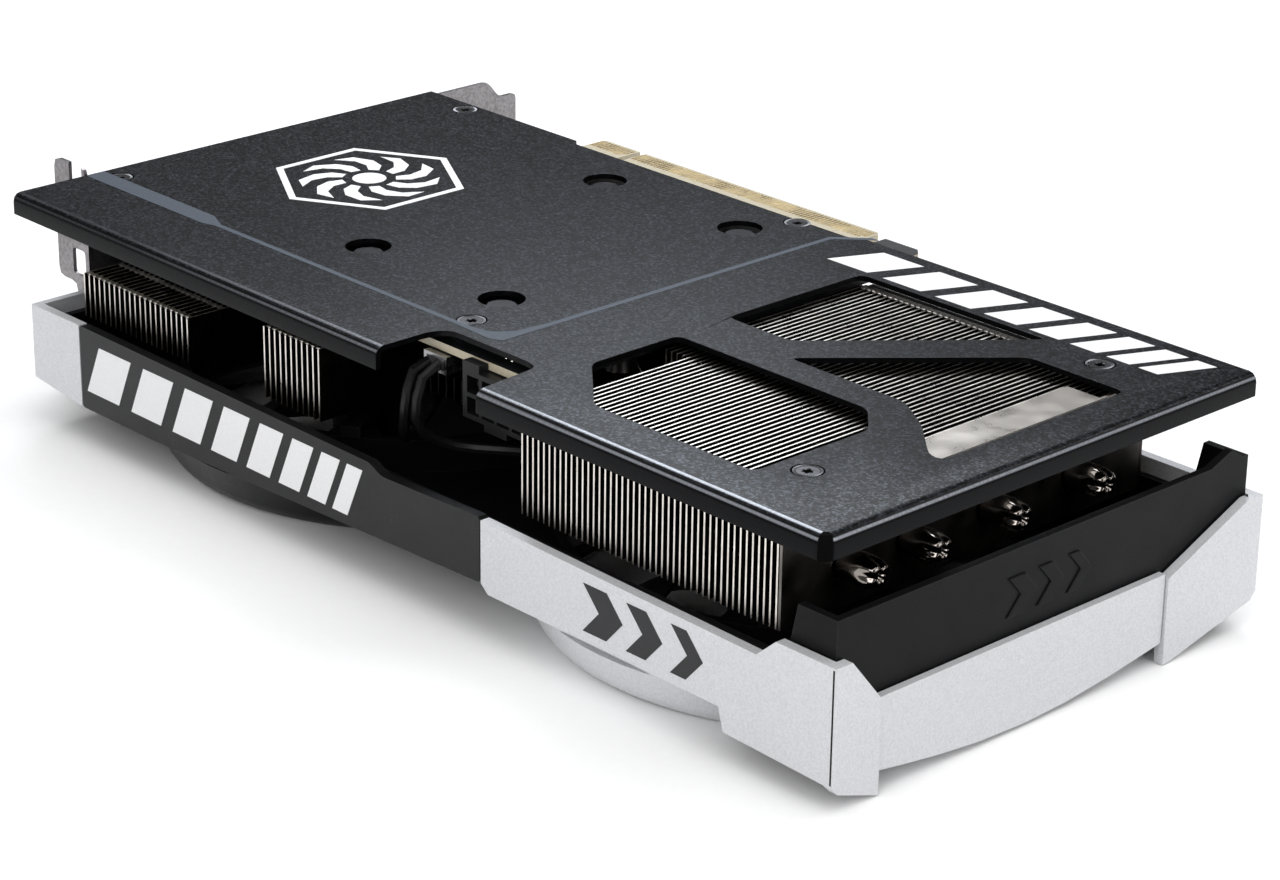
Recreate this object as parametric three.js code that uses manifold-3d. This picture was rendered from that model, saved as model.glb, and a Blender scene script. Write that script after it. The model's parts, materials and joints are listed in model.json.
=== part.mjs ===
// A two-slot graphics card with two fans, lying on its fan side with the backplate up.
// Millimetres. X runs along the card towards its free end, Y from the near long edge to the
// slot connector, Z up. While the pieces are made, X = 0, Y = 0 and Z = 0 are the backplate's
// free end, near edge and upper face; the last lines move the whole card to stand on Z = 0.
import * as THREE from "three";
import { mergeVertices } from "three/addons/utils/BufferGeometryUtils.js";
import Module from "manifold-3d";

const wasm = await Module();
wasm.setup();

// ---------- driving dimensions ----------
const GAP = 0.3; // clearance between neighbouring pieces
const REST_Z = -48; // lowest plane, which the card rests on

const COVER = { length: 238.5, width: 114.5, sheet: 1.2, flange: 4.6, bend: 1.8, corner: 2.6 };
const NOTCH = { x0: -117.6, x1: -88.8, y: 16.7 }; // opening for the power plug

const BOARD = { x0: -236, x1: -91, y0: 16.6, y1: 114.2, top: -3.3, thick: 1.6 };
const BOARD_UNDER = BOARD.top - BOARD.thick;
const EDGE = { x0: -192.4, x1: -107.2, tip: 126.7, keyX: -179.85, keyWidth: 1.9 };
const HOOK = { x0: -104.3, x1: -93.2, y: 125 };

const GPU = { x: -142.9, y: 67.7, side: 37.5, z0: -7.0, die: 19, dieZ: -7.7 };
const RETENTION = [-163.5, -122.3].flatMap((x) => [35.3, 100.2].map((y) => [x, y]));
const COVER_SCREWS = [
  [-232.9, 23.3],
  [-222.6, 111.2],
  [-117.1, 23.2],
  [-116.9, 111.6],
  [-22.5, 18.6],
  [-22.5, 96.2],
];

const BRACKET = { x: -239.9, sheet: 0.85, y0: 20, y1: 132.7, tip: 141.5, z0: -40.2, z1: -1.7 };
const BRACKET_SCREWS = [28, 119].map((y) => [y, -28]);
const SCREW_HOLE = 1.6; // half the width of the holes for the bracket's screws
const PORT = { deep: 18, z0: -11.8, z1: BOARD_UNDER - GAP, wall: 0.6 };
const PORTS = [
  ["hdmi_connector", 34, 15.4],
  ["displayport_connector_1", 57, 17.2],
  ["displayport_connector_2", 79, 17.2],
  ["displayport_connector_3", 101, 17.2],
];

const FIN = { thick: 0.4, y0: 3.5, y1: 100, z0: -22.7, spine: 0.6 };
// The main stack's first fins start further in, at `step`, to clear the power plug.
const MAIN_STACK = { x0: -86.6, x1: -14.2, pitch: 1.49, top: -2.6, step: [-81, 45] };
const BRACKET_STACK = { x0: -219, x1: -182.4, pitch: 1.8, top: -13.3 };
const NEAR_STACK = { x0: -158.5, x1: -139.5, pitch: 1.72, top: -7.7, y1: 28 };
const CENTRE_STACK = { x0: -180, x1: -92, pitch: 2.4, top: -17.6, y0: 30 };

// Each pipe lies at `middle` under the cold plate and sweeps to `end` in the main stack; two of
// them also sweep the other way, to `start`, and run on through the bracket-side stack.
const PIPE = { r: 3, z: -14.3, free: -4.8, sweep: [-128, -66], startSweep: [-192, -166] };
const PIPES = [
  { end: 19, middle: 51, start: 34, x0: -216 },
  { end: 35, middle: 61, start: 61, x0: -172 },
  { end: 56, middle: 71, start: 71, x0: -172 },
  { end: 79, middle: 81, start: 92, x0: -216 },
];
const COLD_PLATE = { x0: -169, x1: -117, y0: 41, y1: 94, top: -8.0, thick: 3 };

const SHELL = { x0: -229, x1: 6.4, y0: -3.1, y1: 110.8, rim: -21.3, trim: 2.1, wall: 1.6 };
const FLOOR = { z0: -37.4, z1: -35.8 };
const FANS = [-169.8, -52.8];
const FAN = { y: 54, tip: 47.4, hub: 19, blades: 9, opening: 48.6, z0: -46.2, z1: -31 };
const HUB = { cap: -46.6, face: 16.5, shoulder: -44.8, inside: -43.4, wall: 2.5 };
const SHAFT = { r: 1.5, top: -30 };
const BLADE = { spans: 4, chords: 3, thick: 1.1, arc: 0.62, arcLoss: 0.08, sweep: 0.42, camber: 1.6 };
const STATOR = { inner: 3.7, outer: 14.5, z0: -42.4, z1: -31.4, poles: 4, slot: 3 };
const BOWL = 56.8; // radius of the bowl round each fan, where it meets the shroud
const FRAME = { z0: -28.7, z1: -26.5, arm: 4 };

const STEEL = { roughness: 0.35, metalness: 1 };
const PLASTIC = { roughness: 0.5, metalness: 0 };
const FINISH = {
  cover: { color: 0x3a3b40, roughness: 0.6, metalness: 0.4 },
  board: { color: 0x101214, ...PLASTIC },
  chip: { color: 0x1b1b1e, ...PLASTIC },
  ferrite: { color: 0x55565a, roughness: 0.7, metalness: 0.2 },
  black: { color: 0x151517, ...PLASTIC },
  silver: { color: 0xc3c5c9, roughness: 0.4, metalness: 0.5 },
  bracket: { color: 0x6b6663, ...STEEL },
  port: { color: 0x9a9894, ...STEEL },
  fins: { color: 0xa7a09a, ...STEEL },
  copper: { color: 0xb9b2aa, ...STEEL },
  screw: { color: 0x2a2a2c, ...STEEL },
};

// ---------- making solids ----------
const AXES = {
  x: [new THREE.Vector3(0, 1, 0), new THREE.Vector3(0, 0, 1), new THREE.Vector3(1, 0, 0)],
  y: [new THREE.Vector3(1, 0, 0), new THREE.Vector3(0, 0, 1), new THREE.Vector3(0, -1, 0)],
  z: [new THREE.Vector3(1, 0, 0), new THREE.Vector3(0, 1, 0), new THREE.Vector3(0, 0, 1)],
};

function toSolid(geometry) {
  const bare = geometry.clone();
  bare.deleteAttribute("normal");
  bare.deleteAttribute("uv");
  const merged = mergeVertices(bare, 1e-4);
  const vertProperties = merged.getAttribute("position").array;
  const triVerts = new Uint32Array(merged.index.array);
  return new wasm.Manifold(new wasm.Mesh({ numProp: 3, vertProperties, triVerts }));
}

function toGeometry(solid) {
  const { vertProperties, triVerts } = solid.getMesh();
  const geometry = new THREE.BufferGeometry();
  geometry.setAttribute("position", new THREE.BufferAttribute(new Float32Array(vertProperties), 3));
  geometry.setIndex(new THREE.BufferAttribute(new Uint32Array(triVerts), 1));
  geometry.computeVertexNormals();
  return geometry;
}

const joined = (solids) => solids.reduce((a, b) => a.add(b));
const cutBy = (solid, tools) => tools.reduce((a, b) => a.subtract(b), solid);

// An outline drawn in the two axes left over (Y-Z, X-Z or X-Y) and pulled along the named axis.
function prism(shape, axis, from, to, curveSegments = 6) {
  const options = { depth: to - from, bevelEnabled: false, curveSegments };
  const geometry = new THREE.ExtrudeGeometry(shape, options);
  geometry.applyMatrix4(new THREE.Matrix4().makeBasis(...AXES[axis]));
  const start = axis === "y" ? to : from;
  const [x, y, z] = ["x", "y", "z"].map((name) => (name === axis ? start : 0));
  geometry.translate(x, y, z);
  return toSolid(geometry);
}

function block(x0, x1, y0, y1, z0, z1) {
  const geometry = new THREE.BoxGeometry(x1 - x0, y1 - y0, z1 - z0);
  geometry.translate((x0 + x1) / 2, (y0 + y1) / 2, (z0 + z1) / 2);
  return toSolid(geometry);
}

// A square bar along X whose middle lies at (y, z).
function squareAbout(x0, x1, y, z, half) {
  return block(x0, x1, y - half, y + half, z - half, z + half);
}

function polygon(points) {
  return new THREE.Shape(points.map(([u, v]) => new THREE.Vector2(u, v)));
}

// A polygon whose corners are rounded off, each starting `radius` before the corner.
function softPolygon(points, radius) {
  const corners = points.map(([u, v]) => new THREE.Vector2(u, v));
  const shape = new THREE.Shape();
  corners.forEach((corner, i) => {
    const before = corners[(i + corners.length - 1) % corners.length];
    const after = corners[(i + 1) % corners.length];
    const reach = (other) => Math.min(radius, corner.distanceTo(other) * 0.49);
    const enter = corner.clone().lerp(before, reach(before) / corner.distanceTo(before));
    const leave = corner.clone().lerp(after, reach(after) / corner.distanceTo(after));
    if (i === 0) shape.moveTo(enter.x, enter.y);
    else shape.lineTo(enter.x, enter.y);
    shape.quadraticCurveTo(corner.x, corner.y, leave.x, leave.y);
  });
  return shape;
}

const rectangle = (u0, u1, v0, v1) => [
  [u0, v0],
  [u1, v0],
  [u1, v1],
  [u0, v1],
];

function roundedRectangle(u0, u1, v0, v1, r) {
  const shape = new THREE.Shape();
  shape.absarc(u1 - r, v0 + r, r, -Math.PI / 2, 0);
  shape.absarc(u1 - r, v1 - r, r, 0, Math.PI / 2);
  shape.absarc(u0 + r, v1 - r, r, Math.PI / 2, Math.PI);
  shape.absarc(u0 + r, v0 + r, r, Math.PI, (3 * Math.PI) / 2);
  return shape;
}

// A box with rounded upright corners and rounded upper and lower edges; edge is less than corner.
function softBlock(x0, x1, y0, y1, z0, z1, corner, edge, steps = 3) {
  const geometry = new THREE.ExtrudeGeometry(roundedRectangle(x0, x1, y0, y1, corner), {
    depth: z1 - z0 - 2 * edge,
    bevelThickness: edge,
    bevelSize: edge,
    bevelOffset: -edge,
    bevelSegments: steps,
    curveSegments: 2,
  });
  geometry.translate(0, 0, z0 + edge);
  return toSolid(geometry);
}

// A solid of revolution about an upright axis at (x, y), from its half profile of [radius, z].
function turned(x, y, profile, sides) {
  const points = profile.map(([r, z]) => new THREE.Vector2(r, z));
  const geometry = new THREE.LatheGeometry(points, sides);
  geometry.rotateX(Math.PI / 2);
  geometry.translate(x, y, 0);
  return toSolid(geometry);
}

// Profiles run from the lower end of the axis outwards and back to the upper end.
function rod(x, y, r, z0, z1, sides = 12) {
  return turned(
    x,
    y,
    [
      [0, z0],
      [r, z0],
      [r, z1],
      [0, z1],
    ],
    sides,
  );
}

function ring(x, y, inner, outer, z0, z1, sides) {
  return turned(
    x,
    y,
    [
      [inner, z0],
      [outer, z0],
      [outer, z1],
      [inner, z1],
      [inner, z0],
    ],
    sides,
  );
}

function tube(path, radius, sides, steps) {
  const section = new THREE.Shape();
  for (let i = 0; i < sides; i++) {
    const angle = (2 * Math.PI * i) / sides;
    const u = radius * Math.cos(angle);
    const v = radius * Math.sin(angle);
    if (i === 0) section.moveTo(u, v);
    else section.lineTo(u, v);
  }
  const geometry = new THREE.ExtrudeGeometry(section, { steps, extrudePath: path });
  return toSolid(geometry);
}

const card = new THREE.Group();

function piece(name, solid, finish) {
  const mesh = new THREE.Mesh(toGeometry(solid), new THREE.MeshStandardMaterial(FINISH[finish]));
  mesh.name = name;
  card.add(mesh);
}

// ---------- backplate ----------
// The folded sheet is a rounded block less a smaller one, cut to the sheet's own outline.
function foldedSheet() {
  const { length, width, sheet, flange, bend, corner } = COVER;
  const beyond = 20;
  const outer = softBlock(-length - beyond, 0, 0, width + beyond, -beyond, 0, corner, bend);
  const inner = softBlock(
    -length - 2 * beyond,
    -sheet,
    sheet,
    width + 2 * beyond,
    -beyond - sheet,
    -sheet,
    corner - sheet,
    bend - sheet,
    2,
  );
  return outer.subtract(inner).intersect(block(-length, 0, 0, width, -flange, 1));
}

function coverCutouts() {
  const notch = [
    [NOTCH.x0, -5],
    [NOTCH.x1, -5],
    [NOTCH.x1, 1.5],
    [-90.2, 15.8],
    [-92.9, NOTCH.y],
    [-115.4, NOTCH.y],
    [NOTCH.x0, 13.3],
  ];
  const window = [
    [-69.2, 11.3],
    [-28.4, 11.3],
    [-28.4, 40],
    [-35.5, 47.2],
    [-85, 47.2],
    [-85, 25.1],
  ];
  const wedge = [
    [-69, 61.3],
    [-37.5, 98.5],
    [-86, 98.5],
    [-86, 61.3],
  ];
  const kite = [
    [-62.8, 54.7],
    [-33.4, 54.7],
    [-24, 49],
    [-13.5, 39.6],
    [-10.3, 39.6],
    [-10.3, 88.8],
    [-33.6, 88.8],
  ];
  const recess = [
    [-190, 120],
    [-188, 112.8],
    [-102, 112.8],
    [-100, 120],
  ];
  const outlines = [notch, window, wedge, kite, recess];
  return outlines.map((points) => prism(softPolygon(points, 2), "z", -8, 2, 3));
}

function makeCover() {
  const holes = [
    ...RETENTION.map(([x, y]) => rod(x, y, 4.75, -3, 2, 18)),
    ...COVER_SCREWS.map(([x, y]) => rod(x, y, 3.1, -3, 2, 14)),
  ];
  piece("backplate", cutBy(foldedSheet(), [...coverCutouts(), ...holes]), "cover");
}

// A flat-headed screw that lies flush with the backplate.
function makeCoverScrews() {
  COVER_SCREWS.forEach(([x, y], i) => {
    const end = x > BOARD.x1 ? -2.3 : -8.4;
    const profile = [
      [0, end],
      [1.2, end],
      [1.2, -1.5],
      [2.8, -0.5],
      [2.8, 0],
      [0, 0],
    ];
    piece("backplate_screw_" + (i + 1), turned(x, y, profile, 10), "screw");
  });
}

// A pan-headed screw that draws the cold plate up to the board.
function makeRetentionScrews() {
  const headTop = -1.3;
  const headBottom = BOARD.top + GAP;
  RETENTION.forEach(([x, y], i) => {
    const profile = [
      [0, -10.4],
      [1.3, -10.4],
      [1.3, headBottom],
      [3.5, headBottom],
      [3.5, headTop - 0.4],
      [3.0, headTop],
      [0, headTop],
    ];
    piece("retention_screw_" + (i + 1), turned(x, y, profile, 10), "screw");
  });
}

// ---------- circuit board and what it carries ----------
function makeBoard() {
  const { x0, x1, y0, y1, top } = BOARD;
  const chamfer = 0.8;
  const key = [EDGE.keyX - EDGE.keyWidth / 2, EDGE.keyX + EDGE.keyWidth / 2];
  const outline = polygon([
    [x0, y0],
    [x1, y0],
    [x1, y1],
    [HOOK.x1, y1],
    [HOOK.x1, HOOK.y - 2],
    [HOOK.x1 - 2, HOOK.y],
    [HOOK.x0, HOOK.y],
    [HOOK.x0, y1 + 2],
    [EDGE.x1, y1 + 2],
    [EDGE.x1, EDGE.tip - chamfer],
    [EDGE.x1 - chamfer, EDGE.tip],
    [key[1], EDGE.tip],
    [key[1], y1 + 4],
    [key[0], y1 + 4],
    [key[0], EDGE.tip],
    [EDGE.x0 + chamfer, EDGE.tip],
    [EDGE.x0, EDGE.tip - chamfer],
    [EDGE.x0, y1],
    [x0, y1],
  ]);
  const screwHoles = [...RETENTION, ...COVER_SCREWS.filter(([x]) => x < x1)];
  for (const [x, y] of screwHoles)
    outline.holes.push(new THREE.Path().absarc(x, y, 1.75, 0, 2 * Math.PI, true));
  piece("circuit_board", prism(outline, "z", BOARD_UNDER, top, 5), "board");
}

function makeChips() {
  const top = BOARD_UNDER - GAP;
  const half = GPU.side / 2;
  const substrate = block(GPU.x - half, GPU.x + half, GPU.y - half, GPU.y + half, GPU.z0, top);
  const halfDie = GPU.die / 2;
  const die = block(
    GPU.x - halfDie,
    GPU.x + halfDie,
    GPU.y - halfDie,
    GPU.y + halfDie,
    GPU.dieZ,
    GPU.z0 + 0.2,
  );
  piece("gpu_package", substrate.add(die), "chip");

  const memory = { long: 14, wide: 12, deep: 1.2 };
  const places = [
    [-176, 50, 0],
    [-176, 76, 0],
    [-152, 37.5, 1],
    [-133, 37.5, 1],
  ];
  places.forEach(([x, y, turnedSideways], i) => {
    const dx = (turnedSideways ? memory.long : memory.wide) / 2;
    const dy = (turnedSideways ? memory.wide : memory.long) / 2;
    const solid = block(x - dx, x + dx, y - dy, y + dy, top - memory.deep, top);
    piece("memory_chip_" + (i + 1), solid, "chip");
  });
}

function makePowerStage() {
  const top = BOARD_UNDER - GAP;
  const choke = { side: 7, deep: 4 };
  [44, 62, 80].forEach((y, i) => {
    const x = -204;
    const half = choke.side / 2;
    const solid = block(x - half, x + half, y - half, y + half, top - choke.deep, top);
    piece("power_choke_" + (i + 1), solid, "ferrite");
  });
  [46, 98].forEach((y, i) => {
    piece("capacitor_" + (i + 1), rod(-100, y, 3.2, top - 5.4, top, 14), "port");
  });
}

// Eight square sockets in two rows, each with its pin standing in it.
function makePowerConnector() {
  const { x0, y0, y1 } = { x0: -109, y0: 14, y1: 24.4 };
  const cell = { pitch: 4.3, open: 3.5, deep: 7.5, columns: 4, rows: 2 };
  const wide = cell.pitch * cell.columns + 1.6;
  const high = cell.pitch * cell.rows + 1.1;
  const top = BOARD_UNDER - GAP;
  const latch = block(x0 + 6.2, x0 + 12.6, y0, y0 + 5, top - high - 1.3, top - high + 0.5);
  const lug = block(x0, x0 + 4.7, y0, BOARD.y0 - GAP, top - 1, BOARD.top - 0.2);
  let body = block(x0, x0 + wide, y0, y1, top - high, top).add(latch).add(lug);
  const pins = [];
  for (let column = 0; column < cell.columns; column++)
    for (let row = 0; row < cell.rows; row++) {
      const x = x0 + 0.8 + cell.pitch * (column + 0.5);
      const z = top - high + 0.55 + cell.pitch * (row + 0.5);
      const half = cell.open / 2;
      body = body.subtract(block(x - half, x + half, y0 - 1, y0 + cell.deep, z - half, z + half));
      pins.push(block(x - 0.45, x + 0.45, y0 + 1.5, y1 - 1, z - 0.45, z + 0.45));
    }
  piece("power_connector", joined([body, ...pins]), "black");
}

function makeFanHeader() {
  const top = BOARD_UNDER - GAP;
  const body = block(-121.6, -115, 15, 19.6, top - 3.6, top);
  piece("fan_header", body.subtract(block(-120.8, -115.8, 14, 17, top - 3, top - 0.7)), "port");
}

// ---------- bracket and display connectors ----------
function makeBracket() {
  const { x, sheet, y0, y1, tip, z0, z1 } = BRACKET;
  const slotPitch = 20.32;
  const face = softPolygon(
    [
      [y0, z0],
      [y1, z0],
      [y1 + 3.6, z0 + 4.1],
      [tip, z0 + 4.1],
      [tip, z0 + 14.3],
      [y1 + 1, z0 + 14.3],
      [y1 + 1, z1 - 14.3],
      [tip, z1 - 14.3],
      [tip, z1 - 4.3],
      [y1 + 3.7, z1 - 4.3],
      [y1, z1],
      [y0, z1],
    ],
    1.2,
  );
  const plate = prism(face, "x", x - sheet, x, 2);
  const tabEnd = x - 11.6;
  const tab = prism(
    softPolygon(
      [
        [x - 0.1, z0],
        [x - 0.1, 1],
        [tabEnd, 1],
        [tabEnd, -26],
        [x - 4.8, -26],
        [x - 4.8, z0],
      ],
      2,
    ),
    "y",
    y0 - sheet,
    y0,
    2,
  );
  const corner = block(x - sheet, x, y0 - sheet, y0 + 1, z0 + 2, z1 - 2);
  // The first screw slot is open at the top edge, the second is closed.
  const screwSlot = { x: x - 3.7, half: 2.35, high: 6, z: -0.9 };
  const slotBetween = (bottom, top) => {
    const outline = rectangle(screwSlot.x - screwSlot.half, screwSlot.x + screwSlot.half, bottom, top);
    return prism(softPolygon(outline, 0.9), "y", y0 - 3, y0 + 0.2, 2);
  };
  const bottoms = [screwSlot.z, screwSlot.z - slotPitch].map((z) => z - screwSlot.high / 2);
  const slots = [slotBetween(bottoms[0], 5), slotBetween(bottoms[1], bottoms[1] + screwSlot.high)];
  const ports = PORTS.map(([, y, wide]) => {
    const half = wide / 2 + GAP;
    return block(x - 2, x + 1, y - half, y + half, PORT.z0 - GAP, PORT.z1 + GAP);
  });
  const vents = Array.from({ length: 11 }, (_, i) => {
    const y = 36 + i * 7.4;
    return block(x - 2, x + 1, y - 2.2, y + 2.2, -36.4, -18.6);
  });
  const screwHoles = BRACKET_SCREWS.map(([y, z]) => squareAbout(x - 2, x + 1, y, z, SCREW_HOLE));
  const solid = cutBy(joined([plate, corner, tab]), [...slots, ...ports, ...vents, ...screwHoles]);
  piece("io_bracket", solid, "bracket");
}

function makePorts() {
  const { deep, z0, z1, wall } = PORT;
  const mouth = BRACKET.x - BRACKET.sheet - 0.4;
  const middle = (z0 + z1) / 2;
  for (const [name, y, wide] of PORTS) {
    const half = wide / 2;
    const open = half - wall;
    const shell = block(mouth, mouth + deep, y - half, y + half, z0, z1);
    const cavity = block(mouth - 1, mouth + 12, y - open, y + open, z0 + wall, z1 - wall);
    const blade = half - 2.4;
    const tongue = block(mouth + 6.5, mouth + deep, y - blade, y + blade, middle - 0.6, middle + 0.6);
    piece(name, shell.subtract(cavity).add(tongue), "port");
  }
}

function makeBracketScrews() {
  const outside = BRACKET.x - BRACKET.sheet - GAP;
  BRACKET_SCREWS.forEach(([y, z], i) => {
    const head = rod(0, 0, 2.9, 0, 1.5, 12);
    const shank = rod(0, 0, 1.2, -8, 0.5, 10);
    const screw = head.add(shank);
    const geometry = toGeometry(screw);
    geometry.rotateY(-Math.PI / 2);
    geometry.translate(outside, y, z);
    piece("bracket_screw_" + (i + 1), toSolid(geometry), "screw");
  });
}

// ---------- cooler ----------
// Fins are thin plates across the card, joined along their far edge by their folded ends.
function finStack({ x0, x1, pitch, top, y0 = FIN.y0, y1 = FIN.y1, step = [x0, y0] }) {
  const count = Math.floor((x1 - x0 - FIN.thick) / pitch) + 1;
  const start = x1 - FIN.thick - (count - 1) * pitch;
  const points = [[start + (count - 1) * pitch + FIN.thick, y1], [start, y1]];
  for (let i = 0; i < count; i++) {
    const x = start + i * pitch;
    const near = x < step[0] ? step[1] : y0;
    points.push([x, near], [x + FIN.thick, near]);
    if (i < count - 1) points.push([x + FIN.thick, y1 - FIN.spine], [x + pitch, y1 - FIN.spine]);
  }
  return prism(polygon(points), "z", FIN.z0, top);
}

function makeFinStacks() {
  const bore = PIPE.r + 0.4;
  const slotAcross = (x0, x1, y0, y1, top, lean = 0) =>
    block(x0, x1, y0 - bore - lean, y1 + bore + lean, PIPE.z - bore, top);
  // Where a pipe is still sweeping, its bore is as wide as the sweep.
  const mainBores = PIPES.map((pipe) => {
    const entry = pipeY(pipe, MAIN_STACK.x0);
    const straight = slotAcross(PIPE.sweep[1], 0, pipe.end, pipe.end, PIPE.z + bore);
    const sweeping = slotAcross(-95, PIPE.sweep[1], pipe.end, entry, PIPE.z + bore, 0.8);
    return straight.add(sweeping);
  });
  piece("fin_stack_main", cutBy(finStack(MAIN_STACK), mainBores), "fins");

  const longPipes = PIPES.filter(({ x0 }) => x0 < BRACKET_STACK.x1);
  const channels = longPipes.map((pipe) => {
    const entry = pipeY(pipe, BRACKET_STACK.x1);
    const [from, to] = [Math.min(pipe.start, entry), Math.max(pipe.start, entry)];
    return slotAcross(-220, -180, from, to, 0, 0.8);
  });
  piece("fin_stack_bracket_side", cutBy(finStack(BRACKET_STACK), channels), "fins");

  piece("fin_stack_near_side", finStack(NEAR_STACK), "fins");
  piece("fin_stack_centre", finStack(CENTRE_STACK), "fins");
}

// The last plate of the main stack, folded over at the top, with two lugs for backplate screws.
function makeEndPlate() {
  const x0 = MAIN_STACK.x1 + GAP;
  const x1 = x0 + 0.6;
  const top = -1.6;
  const under = MAIN_STACK.top + GAP;
  const upright = block(x0, x1, FIN.y0, 98, FIN.z0, top);
  const fold = block(-21.5, x1, 40, 86, under, top);
  const lugs = [18.6, 96.2].map((y) => block(-26, x1, y - 5, Math.min(y + 5, 99), under, top));
  const pipeHoles = PIPES.map(({ end }) => {
    const hole = toGeometry(rod(0, 0, PIPE.r + 0.4, -2, 2, 12));
    hole.rotateY(Math.PI / 2);
    hole.translate(x0, end, PIPE.z);
    return toSolid(hole);
  });
  const screwHoles = COVER_SCREWS.map(([x, y]) => rod(x, y, 1.6, -8, 0, 10));
  const solid = cutBy(joined([upright, fold, ...lugs]), [...pipeHoles, ...screwHoles]);
  piece("stack_end_plate", solid, "fins");
}

// A cold plate with an ear and a threaded hole at each retention screw.
function makeColdPlate() {
  const { x0, x1, y0, y1, top, thick } = COLD_PLATE;
  const ears = RETENTION.map(([x, y]) => {
    const towards = y < GPU.y ? [y - 4, y0 + 1] : [y1 - 1, y + 4];
    return block(x - 4, x + 4, towards[0], towards[1], top - 2, top);
  });
  const holes = RETENTION.map(([x, y]) => rod(x, y, 1.65, top - 5, top + 1, 10));
  const plate = block(x0, x1, y0, y1, top - thick, top);
  piece("cold_plate", cutBy(joined([plate, ...ears]), holes), "copper");
}

// How far across the card a pipe lies at each place along it.
function pipeY({ end, middle, start }, x) {
  const { smoothstep, lerp } = THREE.MathUtils;
  if (x < PIPE.startSweep[1]) return lerp(start, middle, smoothstep(x, ...PIPE.startSweep));
  return lerp(middle, end, smoothstep(x, ...PIPE.sweep));
}

class PipeRoute extends THREE.Curve {
  constructor(pipe) {
    super();
    this.pipe = pipe;
  }
  getPoint(t, target = new THREE.Vector3()) {
    const x = THREE.MathUtils.lerp(this.pipe.x0, -8.6, t);
    return target.set(x, pipeY(this.pipe, x), PIPE.z);
  }
}

// A pipe's free end is crimped shut in a star.
function makeHeatPipes() {
  const star = new THREE.Shape();
  const lobes = 5;
  for (let i = 0; i < 2 * lobes; i++) {
    const r = i % 2 ? 1.5 : 3.0;
    const angle = (Math.PI * i) / lobes + 0.3;
    if (i === 0) star.moveTo(r * Math.cos(angle), r * Math.sin(angle));
    else star.lineTo(r * Math.cos(angle), r * Math.sin(angle));
  }
  PIPES.forEach((pipe, i) => {
    const crimp = prism(star, "x", -9.4, PIPE.free).translate([0, pipe.end, PIPE.z]);
    piece("heat_pipe_" + (i + 1), tube(new PipeRoute(pipe), PIPE.r, 8, 18).add(crimp), "copper");
  });
}

// ---------- shroud and its trims ----------
function makeShroud() {
  const { x0, x1, y0, y1, trim, wall } = SHELL;
  const left = x0 + trim;
  const right = x1 - trim - GAP;
  const near = y0 + trim + GAP;
  const far = y1 - trim - GAP;
  const lip = -24.5;
  const endTop = -13.4;
  const floor = block(left, right, near, far, FLOOR.z0, FLOOR.z1);
  const sideOutline = polygon([
    [left, FLOOR.z0],
    [right, FLOOR.z0],
    [right, endTop],
    [-5.2, endTop],
    [-6.6, -20],
    [-9.5, lip],
    [left, lip],
  ]);
  const screen = block(-92, -26, far - wall, far, lip - 1, -6); // stands beside the main stack
  const sides = [prism(sideOutline, "y", near, near + wall), prism(sideOutline, "y", far - wall, far)];
  const endOutline = polygon([
    [near, FLOOR.z0],
    [far, FLOOR.z0],
    [far, -19.5],
    [far - 1.6, endTop],
    [103.4, -11.2],
    [97.6, endTop],
    [near, endTop],
  ]);
  const end = prism(endOutline, "x", right - wall, right);
  const start = block(left, left + wall, near, far, FLOOR.z0, lip);
  const ducts = FANS.map((x) =>
    ring(x, FAN.y, FAN.opening, FAN.opening + wall, FLOOR.z1 - 0.5, FRAME.z0 - GAP, 36),
  );
  const stays = BRACKET_SCREWS.map(([y, z]) => {
    const half = 3.5;
    const inner = Math.min(y, far - half - 0.5);
    const arm = squareAbout(BRACKET.x + GAP, x0 - GAP, y, z, half);
    const root = squareAbout(left - 8, left + 0.5, inner, z, half);
    const link = block(left - 8, x0 - GAP, inner - half, y + half, z - half, z + half);
    return cutBy(joined([arm, root, link]), [squareAbout(-242, -231, y, z, SCREW_HOLE)]);
  });
  const solid = joined([floor, ...sides, screen, end, start, ...stays]);
  const openings = FANS.map((x) => rod(x, FAN.y, FAN.opening, -50, -20, 36));
  piece("shroud", joined([cutBy(solid, openings), ...ducts]), "black");
}

// The round bowls that stand out of the shroud's underside round each fan.
function makeFanRings() {
  const top = FLOOR.z0 - GAP;
  FANS.forEach((x, i) => {
    const profile = [
      [FAN.opening, REST_Z],
      [51.2, REST_Z],
      [53, -46.8],
      [54.2, -45],
      [55.2, -42],
      [BOWL, top],
      [FAN.opening, top],
      [FAN.opening, REST_Z],
    ];
    // The trims hang down past the bowl's top on both long sides.
    const { y0, y1, trim } = SHELL;
    const relief = -39.7;
    const nearTrim = block(x - 40, x + 40, y0 - 1, y0 + trim + GAP, relief, top + 1);
    const farTrim = block(x - 40, x + 40, y1 - trim - GAP, y1 + 1, relief, top + 1);
    const solid = turned(x, FAN.y, profile, 64).subtract(nearTrim).subtract(farTrim);
    piece("fan_ring_" + (i + 1), solid, i === 0 ? "black" : "silver");
  });
}

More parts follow.
